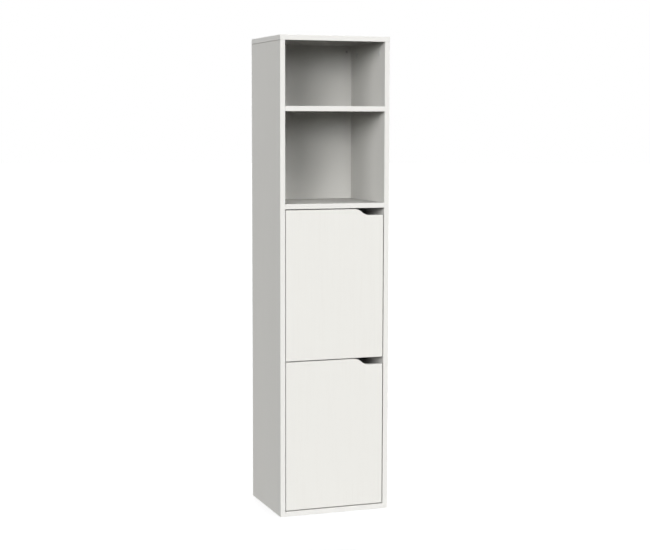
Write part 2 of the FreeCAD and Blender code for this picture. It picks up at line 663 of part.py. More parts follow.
def hinge_plate_master():
    """Make the mounting plate: a cross-shaped sheet with a raised tongue inside the arm."""
    body = doc.addObject("PartDesign::Body", "HingePlate")
    wing, half = "(plate_screw_spacing / 2 + plate_wing)", "(arm_width / 2 + arm_sheet)"
    front, back = f"({NECK_Y} + heel_radius)", f"({TAIL_Y} + arm_sheet)"
    near, far = f"({PLATE_LINE} - plate_wing)", f"({PLATE_LINE} + plate_wing)"
    sketch = sketch_on(body, "PlateOutline", "YZ_Plane")
    sketch.setExpression("AttachmentOffset.Base.z", formula(SIDE_FACE))
    outline(sketch, [(front, f"-{half}"), (near, f"-{half}"), (near, f"-{wing}"), (far, f"-{wing}"),
                     (far, f"-{half}"), (back, f"-{half}"), (back, half), (far, half), (far, wing),
                     (near, wing), (near, half), (front, half)])
    pad = body.newObject("PartDesign::Pad", "PlateSheet")
    pad.Profile = sketch
    bind(pad, {"Length": "plate_sheet"})
    tongue = body.newObject("PartDesign::AdditiveBox", "PlateTongue")
    inside = "(arm_width / 2 - arm_sheet - tongue_play)"
    place(tongue, f"{SIDE_FACE} + plate_sheet", f"{front} + heel_radius", f"-{inside}")
    top = f"({LEG_X} - {WEB_INNER} - spring_sheet - tongue_play)"
    bind(tongue, {"Length": f"{top} - {SIDE_FACE} - plate_sheet",
                  "Width": f"{TAIL_Y} - {front} - heel_radius", "Height": f"2 * {inside}"})
    for side, z in (("Low", "-plate_screw_spacing / 2"), ("High", "plate_screw_spacing / 2")):
        drill(body, f"PlateScrewHole{side}", (f"{SIDE_FACE} + plate_sheet", PLATE_LINE, z), "-X",
              "screw_radius + fit", "plate_sheet")
    drill(body, "PlateClampHole", (f"{LEG_X} + arm_height", f"{PLATE_LINE} + clamp_back", "0"), "-X",
          "clamp_radius + fit", f"{LEG_X} + arm_height - {SIDE_FACE}")
    return body


def screw_master(name, head_radius, head, radius, length):
    """Make a plain screw: head above its seat, shank below."""
    return turned(name, [("0", f"-({length})"), (radius, f"-({length})"), (radius, "0"),
                         (head_radius, "0"), (head_radius, head), ("0", head)])


# ---------------------------------------------------------------- joint hardware

def from_axes(x, y, z):
    """Return the rotation whose local axes point along the three given vectors."""
    return FreeCAD.Rotation(V(*x), V(*y), V(*z), "ZXY")


def cam_master():
    """Make a cam lock with the cavity that takes the bolt's head; the bolt comes from -X."""
    body = doc.addObject("PartDesign::Body", "CamLock")
    drum = body.newObject("PartDesign::AdditiveCylinder", "CamDrum")
    bind(drum, {"Radius": "cam_radius - cam_play", "Height": "cam_depth"})
    drill(body, "CamCavity", ("-cam_radius - cam_play", "0", "board / 2"), "+X",
          "bolt_bore_radius", "cam_radius + 2 * cam_play")
    return body


def cap_master():
    """Make a cover cap that lies over a cam, below its face."""
    body = doc.addObject("PartDesign::Body", "CoverCap")
    disc = body.newObject("PartDesign::AdditiveCylinder", "CapDisc")
    place(disc, "0", "0", "-cap_thick")
    bind(disc, {"Radius": "cap_radius", "Height": "cap_thick"})
    return body


def bolt_master():
    """Make a cam bolt: thread below its seat, shank and head above."""
    neck = "(cam_reach - bolt_head)"
    return turned("CamBolt", [
        ("0", "-bolt_thread"), ("bolt_thread_radius", "-bolt_thread"), ("bolt_thread_radius", "0"),
        ("bolt_radius", "0"), ("bolt_radius", neck), ("bolt_head_radius", neck),
        ("bolt_head_radius", "cam_reach"), ("0", "cam_reach")])


def dowel_master():
    """Make a wood dowel with chamfered ends, along +Z."""
    chamfer = "dowel_end_play"
    return turned("Dowel", [
        ("0", "0"), (f"dowel_radius - {chamfer}", "0"), ("dowel_radius", chamfer),
        ("dowel_radius", f"dowel_length - {chamfer}"), (f"dowel_radius - {chamfer}", "dowel_length"),
        ("0", "dowel_length")])


def shelf_pin_master():
    """Make a shelf pin: stem in the side below, collar and rest above."""
    return turned("ShelfPin", [
        ("0", "-pin_hole_depth"), ("pin_radius", "-pin_hole_depth"), ("pin_radius", "0"),
        ("pin_collar_radius", "0"), ("pin_collar_radius", "pin_collar"), ("pin_radius", "pin_collar"),
        ("pin_radius", "pin_reach"), ("0", "pin_reach")])


def nail_master():
    """Make a nail whose head sits flush at the origin, shank below."""
    return turned("Nail", [
        ("0", "-nail_length"), ("nail_radius", "-nail_length"), ("nail_radius", "-nail_head"),
        ("nail_head_radius", "-nail_head"), ("nail_head_radius", "0"), ("0", "0")])


def cam_joints():
    """Place the bolts, cams, caps and dowels of all five fixed boards."""
    cam, cap, bolt, dowel = cam_master(), cap_master(), bolt_master(), dowel_master()
    half_turn = FreeCAD.Rotation(V(0, 0, 1), 180)
    bolts, cams, caps, dowels = [], [], [], []
    ends = [("left", INNER_LEFT, "+", "+X", None), ("right", INNER_RIGHT, "-", "-X", half_turn)]
    for label, z, _ in FIXED_BOARDS:
        middle = f"{z} + board / 2"
        for end, face, sign, into, turn in ends:
            for row, y in enumerate(CAM_ROWS):
                name, deep = f"{label}_{end}{row}", f"{FRONT} + {y}"
                bolts.append(copy_of(bolt, name + "_bolt", (face, deep, middle), DIRECTIONS[into]))
                at = (f"{face} {sign} cam_reach", deep, z)
                cams.append(copy_of(cam, name + "_cam", at, turn))
                if label != "bottom_panel":
                    caps.append(copy_of(cap, name + "_cap", at, turn))
            start = (f"{face} - ({sign}1) * dowel_in_side", f"{FRONT} + {DOWEL_ROW}", middle)
            dowels.append(copy_of(dowel, f"{label}_{end}_dowel", start, DIRECTIONS[into]))
    tops = [("left", INNER_LEFT, "-", from_axes((0, 0, -1), (0, -1, 0), (-1, 0, 0))),
            ("right", INNER_RIGHT, "+", from_axes((0, 0, -1), (0, 1, 0), (1, 0, 0)))]
    for end, face, sign, turn in tops:
        middle = f"{face} {sign} board / 2"
        for row, y in enumerate(CAM_ROWS):
            name, deep = f"top_{end}{row}", f"{FRONT} + {y}"
            bolts.append(copy_of(bolt, name + "_bolt", (middle, deep, TOP_Z), DIRECTIONS["-Z"]))
            at = (face, deep, f"{TOP_Z} - cam_reach")
            cams.append(copy_of(cam, name + "_cam", at, turn))
            caps.append(copy_of(cap, name + "_cap", at, turn))
        start = (middle, f"{FRONT} + {DOWEL_ROW}", f"{TOP_Z} + dowel_in_side")
        dowels.append(copy_of(dowel, f"top_{end}_dowel", start, DIRECTIONS["-Z"]))
    group("cam_bolts", bolts)
    group("cam_locks", cams)
    group("cam_cover_caps", caps)
    group("wood_dowels", dowels)


def shelf_pins():
    """Place four pins under each adjustable shelf."""
    pin = shelf_pin_master()
    for bay, z in BAYS.items():
        pins = []
        for row, y in enumerate(PIN_ROWS):
            for end, face, into in (("left", INNER_LEFT, "+X"), ("right", INNER_RIGHT, "-X")):
                at = (face, f"{FRONT} + {y}", f"{z} + {PIN_STEP}")
                pins.append(copy_of(pin, f"{bay}_{end}_pin{row}", at, DIRECTIONS[into]))
        group(f"{bay}_shelf_pins", pins)


def back_nails():
    """Place the nails of the back panel."""
    nail = nail_master()
    rear, nails = f"{BACK} + back_sheet", []
    for end, x in (("left", f"{INNER_LEFT} - board / 2"), ("right", f"{INNER_RIGHT} + board / 2")):
        for i in range(int(SIZE["nails_up_side"])):
            at = (x, rear, f"nail_end_inset + {i} * ({NAIL_PITCH})")
            nails.append(copy_of(nail, f"nail_{end}{i}", at, DIRECTIONS["+Y"]))
    for level, z in enumerate(NAILED_LEVELS):
        nails.append(copy_of(nail, f"nail_level{level}", ("0", rear, f"{z} + board / 2"), DIRECTIONS["+Y"]))
    group("back_panel_nails", nails)


def hinges():
    """Place the four hinges with their pins and screws."""
    masters = {"arm": hinge_arm_master(), "spring": hinge_spring_master(),
               "cup": hinge_cup_master(), "plate": hinge_plate_master()}
    pin = doc.addObject("PartDesign::Body", "HingePin")
    cylinder_across(pin, "PinRod", "Additive", "pivot_radius", "pivot_length")
    masters["pin"] = pin
    cup_screw = screw_master("CupScrew", "screw_head_radius", "screw_head", "screw_radius", "screw_length")
    plate_screw = screw_master("PlateScrew", "screw_head_radius", "screw_head", "screw_radius",
                               "screw_length + plate_sheet - fit")
    clamp = screw_master("ClampScrew", "clamp_head_radius", "clamp_head", "clamp_radius", "clamp_length")
    plate_screws, clamps, cup_screws = [], [], {name: [] for name in DOORS}
    for door_name, where, z in hinge_places():
        for kind, master in masters.items():
            name = f"{door_name}_{where}_hinge_{kind}"
            group(name, [copy_of(master, name + "_copy", (PIVOT_X, PIVOT_Y, z))])
        mark = f"{door_name}_{where}"
        web = f"{PIVOT_X} + {LEG_X} + arm_height / 2"
        at = (web, f"{PIVOT_Y} + {PLATE_LINE} + clamp_back", z)
        clamps.append(copy_of(clamp, mark + "_clamp", at, DIRECTIONS["+X"]))
        for side, offset in (("low", "-"), ("high", "+")):
            at = (f"{PIVOT_X} + {SIDE_FACE} + plate_sheet", f"{PIVOT_Y} + {PLATE_LINE}",
                  f"{z} {offset} plate_screw_spacing / 2")
            plate_screws.append(copy_of(plate_screw, f"{mark}_{side}_plate_screw", at, DIRECTIONS["+X"]))
            at = (f"{PIVOT_X} + {CUP_X} + cup_screw_offset", f"{PIVOT_Y} + {DOOR_BACK} + flange",
                  f"{z} {offset} cup_screw_spacing / 2")
            cup_screws[door_name].append(
                copy_of(cup_screw, f"{mark}_{side}_cup_screw", at, DIRECTIONS["+Y"]))
    group("hinge_plate_screws", plate_screws)
    group("hinge_clamp_screws", clamps)
    for door_name, screws in cup_screws.items():
        group(f"{door_name}_cup_screws", screws)


# ---------------------------------------------------------------- the cabinet

side_panel("left_side_panel", LEFT, "board", "-X", hinged=True)
side_panel("right_side_panel", INNER_RIGHT, "0", "+X", hinged=False)
top_panel("top_panel")
for board_label, board_z, board_setback in FIXED_BOARDS:
    fixed_board(board_label, board_z, board_setback)
back_panel("back_panel")
for bay_name, first_pin_z in BAYS.items():
    adjustable_shelf(f"{bay_name}_shelf", f"{first_pin_z} + {PIN_STEP} + pin_radius")
for door_name, door_z in DOORS.items():
    door(door_name, door_z)
cam_joints()
shelf_pins()
back_nails()
hinges()

# ---------------------------------------------------------------- check and write

doc.recompute()
for thing in doc.Objects:
    if "Invalid" in thing.State or "Error" in thing.State:
        raise RuntimeError(f"{thing.Name} failed: {thing.State}")
os.makedirs("parts", exist_ok=True)
for part in parts:
    if part.Shape.isNull() or not part.Shape.isValid() or not part.Shape.Solids:
        raise RuntimeError(f"{part.Label} has no valid solid")
    part.Shape.exportStep(f"parts/{part.Label}.step")
print(f"{len(parts)} sub-parts written")
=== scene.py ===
"""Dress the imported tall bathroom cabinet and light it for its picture.

The cabinet is white melamine-faced board with two open bays above two inset doors. Every piece is in
metres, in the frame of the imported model: +X to the right, +Y to the wall, +Z up.
"""

from __future__ import annotations

import json
import logging
import math
from dataclasses import dataclass, field
from enum import Enum

import bmesh
import bpy
from mathutils import Matrix, Vector

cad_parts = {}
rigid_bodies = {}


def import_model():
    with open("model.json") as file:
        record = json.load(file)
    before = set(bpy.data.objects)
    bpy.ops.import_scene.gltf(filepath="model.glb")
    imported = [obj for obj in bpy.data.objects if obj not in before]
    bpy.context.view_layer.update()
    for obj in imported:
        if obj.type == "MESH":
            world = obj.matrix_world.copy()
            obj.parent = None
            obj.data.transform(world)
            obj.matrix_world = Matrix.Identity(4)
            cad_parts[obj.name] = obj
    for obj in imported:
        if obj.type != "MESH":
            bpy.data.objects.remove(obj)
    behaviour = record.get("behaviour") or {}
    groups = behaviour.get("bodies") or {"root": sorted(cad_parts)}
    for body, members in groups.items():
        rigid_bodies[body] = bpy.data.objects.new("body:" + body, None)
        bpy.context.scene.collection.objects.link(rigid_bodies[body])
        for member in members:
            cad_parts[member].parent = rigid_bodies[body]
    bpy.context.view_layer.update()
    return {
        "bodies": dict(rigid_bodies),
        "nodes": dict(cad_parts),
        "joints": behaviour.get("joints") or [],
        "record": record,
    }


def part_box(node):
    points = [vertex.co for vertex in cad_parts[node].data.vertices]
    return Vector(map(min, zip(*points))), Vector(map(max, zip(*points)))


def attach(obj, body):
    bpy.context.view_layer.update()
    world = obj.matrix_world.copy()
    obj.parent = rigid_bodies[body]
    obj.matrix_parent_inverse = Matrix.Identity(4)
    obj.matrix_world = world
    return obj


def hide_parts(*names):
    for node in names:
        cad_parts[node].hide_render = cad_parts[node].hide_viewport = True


LOG = logging.getLogger("cabinet")
MM = 0.001
WELD = 0.001 * MM  # points nearer than this are one

Colour = tuple[float, float, float, float]
Range = tuple[float, float]
Scale = tuple[float, float, float]
Profile = list[tuple[float, float]]

WHITE: Colour = (1.0, 1.0, 1.0, 1.0)
FULL: Range = (0.0, 1.0)
MIDDLE: Range = (0.3, 0.7)  # where most of a noise's values lie


class Axis(Enum):
    """A direction of the cabinet, by its place in a vector."""

    X = 0
    Y = 1
    Z = 2


class Banding(Enum):
    """The edges of a board that carry an edge band."""

    FRONT = "front edge only"
    FRONT_AND_ENDS = "front edge and both ends"
    ALL = "all round"


def linear(part: int) -> float:
    """Turn one part of a display colour, from 0 to 255, into light.

    Args:
        part: The red, green or blue of the display colour.

    Returns:
        The linear value, from 0 to 1.
    """
    share = part / 255
    return share / 12.92 if share <= 0.04045 else ((share + 0.055) / 1.055) ** 2.4


def srgb(red: int, green: int, blue: int) -> Colour:
    """Turn a display colour into the linear one that Blender's nodes take.

    Args:
        red: Red, from 0 to 255.
        green: Green, from 0 to 255.
        blue: Blue, from 0 to 255.

    Returns:
        The linear colour with an alpha of 1.
    """
    return linear(red), linear(green), linear(blue), 1.0


# ---------------------------------------------------------------- materials

class NodeTree:
    """A tree of shader nodes, built node by node."""

    def __init__(self, owner: bpy.types.Material | bpy.types.World) -> None:
        """Start on an empty tree.

        Args:
            owner: The material or world that the tree belongs to.
        """
        owner.use_nodes = True
        self.tree = owner.node_tree
        self.tree.nodes.clear()

    def add(self, kind: str, inputs: dict | None = None, **settings: object) -> bpy.types.Node:
        """Add a node.

        Args:
            kind: The node's class name.
            inputs: Values or sockets for its inputs, by socket name or number.
            **settings: The node's own properties.

        Returns:
            The new node.
        """
        node = self.tree.nodes.new(kind)
        for key, value in settings.items():
            setattr(node, key, value)
        for key, value in (inputs or {}).items():
            if isinstance(value, bpy.types.NodeSocket):
                self.tree.links.new(value, node.inputs[key])
            else:
                node.inputs[key].default_value = value
        return node

    def math(self, operation: str, *values: object) -> bpy.types.NodeSocket:
        """Do one sum.

        Args:
            operation: Blender's name of the sum.
            *values: Its numbers or sockets.

        Returns:
            The result's socket.
        """
        return self.add("ShaderNodeMath", dict(enumerate(values)), operation=operation).outputs[0]

    def remap(self, value: bpy.types.NodeSocket, source: Range, target: Range) -> bpy.types.NodeSocket:
        """Move a value from one range to another and stop at its ends.

        Args:
            value: The value to move.
            source: The range that it is read in.
            target: The range that it is given in.

        Returns:
            The moved value.
        """
        inputs = {0: value, 1: source[0], 2: source[1], 3: target[0], 4: target[1]}
        return self.add("ShaderNodeMapRange", inputs, clamp=True).outputs[0]

    def seen(self) -> bpy.types.NodeSocket:
        """Tell the rays that look at the studio, 1, from those that gather light, 0.

        Returns:
            The mask.
        """
        path = self.add("ShaderNodeLightPath")
        either = self.math("MAXIMUM", path.outputs["Is Camera Ray"], path.outputs["Is Glossy Ray"])
        return self.math("MAXIMUM", either, path.outputs["Is Transmission Ray"])


class NodeSheet(NodeTree):
    """One procedural material, laid out on the object's own metres."""

    def __init__(self, name: str) -> None:
        """Start an empty material.

        Args:
            name: The material's name.
        """
        self.material = bpy.data.materials.new(name)
        super().__init__(self.material)
        self.coords = self.add("ShaderNodeTexCoord")

    @property
    def place(self) -> bpy.types.NodeSocket:
        """The point on the object, in metres."""
        return self.coords.outputs["Object"]

    @property
    def facing(self) -> bpy.types.NodeSocket:
        """The surface's own direction on the object."""
        return self.coords.outputs["Normal"]

    def part(self, vector: bpy.types.NodeSocket, axis: Axis) -> bpy.types.NodeSocket:
        """Give a vector's part along an axis."""
        return self.add("ShaderNodeSeparateXYZ", {0: vector}).outputs[axis.value]

    def stretched(self, scale: Scale) -> bpy.types.NodeSocket:
        """Give the point on the object in units that differ along each axis.

        Args:
            scale: Units to the metre along X, Y and Z.

        Returns:
            The scaled vector.
        """
        return self.add("ShaderNodeVectorMath", {0: self.place, 1: scale}, operation="MULTIPLY").outputs[0]

    def noise(self, scale: float, detail: float = 3.0, roughness: float = 0.5,
              vector: bpy.types.NodeSocket | None = None) -> bpy.types.NodeSocket:
        """Make soft noise from 0 to 1.

        Args:
            scale: Spots to the unit.
            detail: How many finer layers it has.
            roughness: How strong the finer layers are.
            vector: What it is laid out on, the object's own metres unless given.

        Returns:
            The noise value.
        """
        inputs = {"Vector": vector or self.place, "Scale": scale, "Detail": detail, "Roughness": roughness}
        return self.add("ShaderNodeTexNoise", inputs).outputs[0]

    def mixed(self, first: bpy.types.NodeSocket, second: bpy.types.NodeSocket,
              share: float) -> bpy.types.NodeSocket:
        """Add two patterns up, each with its share.

        Args:
            first: The first pattern.
            second: The second pattern.
            share: The first one's share; the second has the rest.

        Returns:
            The sum.
        """
        return self.math("ADD", self.math("MULTIPLY", first, share), self.math("MULTIPLY", second, 1 - share))

    def blend(self, share: bpy.types.NodeSocket, first: object, second: object) -> bpy.types.NodeSocket:
        """Mix two colours.

        Args:
            share: How much of the second colour shows.
            first: The colour at 0.
            second: The colour at 1.

        Returns:
            The mixed colour.
        """
        return self.add("ShaderNodeMix", {0: share, 6: first, 7: second}, data_type="RGBA").outputs[2]

    def bump(self, height: bpy.types.NodeSocket, depth: float,
             under: bpy.types.NodeSocket | None = None) -> bpy.types.NodeSocket:
        """Raise the surface by a height from 0 to 1.

        Args:
            height: The height's pattern.
            depth: How deep the pattern is, in metres.
            under: A relief that this one lies on.

        Returns:
            The relief's normal.
        """
        inputs = {"Height": height, "Distance": depth, "Strength": 1.0}
        if under is not None:
            inputs["Normal"] = under
        return self.add("ShaderNodeBump", inputs).outputs[0]

    def finish(self, **inputs: object) -> bpy.types.Material:
        """Close the material with its surface shader.

        Args:
            **inputs: The shader's inputs, with an underscore for each space in a name.

        Returns:
            The finished material.
        """
        named = {key.replace("_", " "): value for key, value in inputs.items()}
        shader = self.add("ShaderNodeBsdfPrincipled", named)
        self.add("ShaderNodeOutputMaterial", {0: shader.outputs[0]})
        return self.material


@dataclass(frozen=True)
class Chipboard:
    """The pressed wood flakes inside a board, where an edge or a bore is bare."""

    dark: Colour = srgb(150, 116, 78)
    light: Colour = srgb(222, 192, 146)
    flakes_per_metre: float = 420.0
    specks_per_flake: float = 2.5
    flake_share: float = 0.7

    def colour(self, sheet: NodeSheet) -> bpy.types.NodeSocket:
        """Lay out the flakes' colours.

        Args:
            sheet: The material that they are part of.

        Returns:
            The colour.
        """
        inputs = {"Vector": sheet.place, "Scale": self.flakes_per_metre}
        flake = sheet.add("ShaderNodeTexVoronoi", inputs, feature="F1")
        tone = sheet.part(flake.outputs["Color"], Axis.X)
        specks = sheet.noise(self.flakes_per_metre * self.specks_per_flake, detail=2.0)
        return sheet.blend(sheet.mixed(tone, specks, self.flake_share), self.dark, self.light)


@dataclass(frozen=True)
class Melamine:
    """White melamine-faced board with a faint pressed grain, edge bands and bare chipboard edges.

    grain is the axis that the grain runs along, and face the axis that the two large faces look along.
    front is where the front edge lies along Y, for a board that is banded there alone.
    """

    name: str
    grain: Axis
    face: Axis
    banding: Banding = Banding.FRONT
    front: float = 0.0
    white: Colour = srgb(240, 239, 234)
    streak: Colour = srgb(233, 231, 225)
    band: Colour = srgb(241, 240, 236)
    core: Chipboard = field(default_factory=Chipboard)
    lines_across: float = 330.0
    lines_along: float = 7.0
    pores_per_line: float = 5.5
    clouds_per_metre: float = 5.0
    pearls_per_metre: float = 1500.0
    grain_contrast: Range = (0.46, 0.74)
    streak_strength: Range = (0.0, 0.4)
    cloud_strength: Range = (0.45, 1.0)
    grain_share: float = 0.6
    relief: float = 0.035 * MM
    pearl_relief: float = 0.012 * MM
    band_smoothness: float = 0.85
    satin: Range = (0.40, 0.50)
    band_gloss: float = 0.06
    bare_roughness: float = 0.9
    band_reach: float = 1.5 * MM
    edge_turn: Range = (0.60, 0.72)

    def build(self) -> bpy.types.Material:
        """Make the material.

        Returns:
            The material.
        """
        sheet = NodeSheet(self.name)
        lines = tuple(self.lines_along if axis is self.grain else self.lines_across for axis in Axis)
        grain = sheet.noise(1.0, detail=5.0, roughness=0.62, vector=sheet.stretched(lines))
        pores = sheet.noise(self.pores_per_line, detail=2.0, vector=sheet.stretched(lines))
        edge = self._edge(sheet)
        bare = self._bare(sheet, edge)
        colour = sheet.blend(edge, self._streaks(sheet, grain), self.band)
        rough = sheet.math("SUBTRACT", sheet.remap(pores, MIDDLE, self.satin),
                           sheet.math("MULTIPLY", edge, self.band_gloss))
        if bare is not None:
            colour = sheet.blend(bare, colour, self.core.colour(sheet))
            rough = sheet.math("MAXIMUM", rough, sheet.math("MULTIPLY", bare, self.bare_roughness))
        pressed = sheet.math("SUBTRACT", 1.0, sheet.math("MULTIPLY", edge, self.band_smoothness))
        height = sheet.math("MULTIPLY", sheet.mixed(grain, pores, self.grain_share), pressed)
        pearl = sheet.noise(self.pearls_per_metre, detail=2.0)
        normal = sheet.bump(pearl, self.pearl_relief, sheet.bump(height, self.relief))
        return sheet.finish(Base_Color=colour, Roughness=rough, Normal=normal, Specular_IOR_Level=0.4)

    def _streaks(self, sheet: NodeSheet, grain: bpy.types.NodeSocket) -> bpy.types.NodeSocket:
        """Tint the white along the grain, more in some clouds than in others.

        Args:
            sheet: The material.
            grain: The grain's pattern.

        Returns:
            The face's colour.
        """
        clouds = sheet.noise(self.clouds_per_metre, detail=2.0, roughness=0.45)
        strength = sheet.math("MULTIPLY", sheet.remap(grain, self.grain_contrast, self.streak_strength),
                              sheet.remap(clouds, MIDDLE, self.cloud_strength))
        return sheet.blend(strength, self.white, self.streak)

    def _edge(self, sheet: NodeSheet) -> bpy.types.NodeSocket:
        """Tell the board's edges, 1, from its two large faces, 0."""
        toward = sheet.math("ABSOLUTE", sheet.part(sheet.facing, self.face))
        return sheet.remap(toward, self.edge_turn, (1.0, 0.0))

    def _bare(self, sheet: NodeSheet, edge: bpy.types.NodeSocket) -> bpy.types.NodeSocket | None:
        """Tell the edges and bores with no band, 1, from all the rest, 0.

        Args:
            sheet: The material.
            edge: Where the board's edges are.

        Returns:
            The mask, or None for a board that is banded all round.
        """
        if self.banding is Banding.ALL:
            return None
        if self.banding is Banding.FRONT_AND_ENDS:
            behind = sheet.math("GREATER_THAN", sheet.part(sheet.facing, Axis.Y), 0.5)
            return sheet.math("MULTIPLY", edge, behind)
        ahead = sheet.math("LESS_THAN", sheet.part(sheet.place, Axis.Y), self.front + self.band_reach)
        return sheet.math("MULTIPLY", edge, sheet.math("SUBTRACT", 1.0, ahead))


@dataclass(frozen=True)
class Hardboard:
    """Thin hardboard, painted white on the inner face and bare brown behind."""

    name: str
    paint: Colour = srgb(238, 237, 232)
    thin_paint: Colour = srgb(236, 235, 230)
    dark: Colour = srgb(158, 124, 88)
    light: Colour = srgb(190, 156, 117)
    fibres_per_metre: Scale = (420.0, 60.0, 260.0)
    clouds_per_metre: float = 9.0
    fibre_share: float = 0.75
    tone_contrast: Range = (0.34, 0.66)
    screen_scale: float = 160.0
    screen_relief: float = 0.10 * MM
    fibre_relief: float = 0.015 * MM
    bare_to_painted: Range = (0.85, 0.55)
    painted_turn: Range = (-0.6, -0.4)

    def build(self) -> bpy.types.Material:
        """Make the material.

        Returns:
            The material.
        """
        sheet = NodeSheet(self.name)
        painted = sheet.remap(sheet.part(sheet.facing, Axis.Y), self.painted_turn, (1.0, 0.0))
        fibres = sheet.noise(1.0, detail=6.0, roughness=0.7, vector=sheet.stretched(self.fibres_per_metre))
        clouds = sheet.noise(self.clouds_per_metre)
        tone = sheet.remap(sheet.mixed(fibres, clouds, self.fibre_share), self.tone_contrast, FULL)
        paint = sheet.blend(sheet.remap(clouds, MIDDLE, FULL), self.paint, self.thin_paint)
        colour = sheet.blend(painted, sheet.blend(tone, self.dark, self.light), paint)
        normal = sheet.bump(self._screen(sheet, painted), self.screen_relief)
        normal = sheet.bump(fibres, self.fibre_relief, normal)
        rough = sheet.remap(painted, FULL, self.bare_to_painted)
        return sheet.finish(Base_Color=colour, Roughness=rough, Normal=normal, Specular_IOR_Level=0.3)

    def _screen(self, sheet: NodeSheet, painted: bpy.types.NodeSocket) -> bpy.types.NodeSocket:
        """Make the print of the press screen on the bare side.

        Args:
            sheet: The material.
            painted: Where the paint is.

        Returns:
            The height of the print.
        """
        inputs = {"Vector": sheet.place, "Scale": self.screen_scale}
        wires = [sheet.add("ShaderNodeTexWave", inputs, bands_direction=way).outputs[1] for way in "XZ"]
        weave = sheet.math("MULTIPLY", *wires)
        return sheet.math("MULTIPLY", weave, sheet.math("SUBTRACT", 1.0, painted))


@dataclass(frozen=True)
class Beech:
    """Bare beech with its short darker flecks, for the dowels that run along X."""

    name: str
    pale: Colour = srgb(222, 190, 148)
    fleck: Colour = srgb(172, 130, 88)
    grain_per_metre: Scale = (60.0, 1500.0, 1500.0)
    grain_contrast: Range = (0.35, 0.7)
    grain_strength: Range = (0.1, 0.7)
    flecks_per_metre: Scale = (250.0, 3500.0, 3500.0)
    fleck_contrast: Range = (0.4, 0.75)
    fleck_strength: Range = (0.5, 1.3)
    relief: float = 0.05 * MM
    roughness: Range = (0.6, 0.8)

    def build(self) -> bpy.types.Material:
        """Make the material.

        Returns:
            The material.
        """
        sheet = NodeSheet(self.name)
        grain = sheet.noise(1.0, detail=4.0, roughness=0.6, vector=sheet.stretched(self.grain_per_metre))
        flecks = sheet.noise(1.0, detail=2.0, vector=sheet.stretched(self.flecks_per_metre))
        tone = sheet.math("MULTIPLY", sheet.remap(grain, self.grain_contrast, self.grain_strength),
                          sheet.remap(flecks, self.fleck_contrast, self.fleck_strength))
        colour = sheet.blend(sheet.math("MINIMUM", tone, 1.0), self.pale, self.fleck)
        rough = sheet.remap(grain, MIDDLE, self.roughness)
        return sheet.finish(Base_Color=colour, Roughness=rough, Normal=sheet.bump(grain, self.relief))


@dataclass(frozen=True)
class MouldedPlastic:
    """White moulded plastic with a fine spark-eroded texture."""

    name: str
    white: Colour = srgb(238, 237, 233)
    dull: Colour = srgb(229, 228, 223)
    clouds_per_metre: float = 90.0
    grit_per_metre: float = 2600.0
    grit_relief: float = 0.02 * MM
    roughness: Range = (0.36, 0.46)

    def build(self) -> bpy.types.Material:
        """Make the material.

        Returns:
            The material.
        """
        sheet = NodeSheet(self.name)
        clouds = sheet.noise(self.clouds_per_metre)
        colour = sheet.blend(clouds, self.white, self.dull)
        rough = sheet.remap(clouds, MIDDLE, self.roughness)
        normal = sheet.bump(sheet.noise(self.grit_per_metre, detail=2.0), self.grit_relief)
        return sheet.finish(Base_Color=colour, Roughness=rough, Normal=normal, Subsurface_Weight=0.05)


@dataclass(frozen=True)
class PlatedSteel:
    """Plated steel that was tumbled, with faint clouds and pressing marks."""

    name: str
    bright: Colour
    dull: Colour
    polish: Range
    clouds_per_metre: float = 240.0
    marks_per_metre: Scale = (900.0, 120.0, 2400.0)
    mark_contrast: Range = (0.3, 0.75)
    grit_per_metre: float = 4200.0
    mark_relief: float = 0.010 * MM
    grit_relief: float = 0.006 * MM

    def build(self) -> bpy.types.Material:
        """Make the material.

        Returns:
            The material.
        """
        sheet = NodeSheet(self.name)
        clouds = sheet.noise(self.clouds_per_metre, detail=4.0, roughness=0.6)
        marks = sheet.noise(1.0, roughness=0.6, vector=sheet.stretched(self.marks_per_metre))
        grit = sheet.noise(self.grit_per_metre, detail=2.0)
        colour = sheet.blend(sheet.remap(clouds, MIDDLE, FULL), self.bright, self.dull)
        rough = sheet.remap(marks, self.mark_contrast, self.polish)
        normal = sheet.bump(grit, self.grit_relief, sheet.bump(marks, self.mark_relief))
        return sheet.finish(Base_Color=colour, Metallic=0.72, Roughness=rough, Normal=normal)


@dataclass(frozen=True)
class Fittings:
    """The finishes that several sub-assemblies share."""

    zinc: PlatedSteel = PlatedSteel("zinc_plate", srgb(205, 208, 212), srgb(182, 184, 187), (0.26, 0.42))
    nickel: PlatedSteel = PlatedSteel("nickel_plate", srgb(212, 209, 203), srgb(194, 190, 184), (0.16, 0.30))
    spring: PlatedSteel = PlatedSteel("spring_steel", srgb(160, 160, 162), srgb(132, 131, 131), (0.28, 0.40))
    plastic: MouldedPlastic = MouldedPlastic("white_cap_plastic")
    beech: Beech = Beech("bare_beech")


def dress(obj: bpy.types.Object, material: bpy.types.Material) -> None:
    """Give an object one material in place of all that it has.

    Args:
        obj: The object.
        material: Its new material.
    """
    obj.data.materials.clear()
    obj.data.materials.append(material)


# ---------------------------------------------------------------- meshes

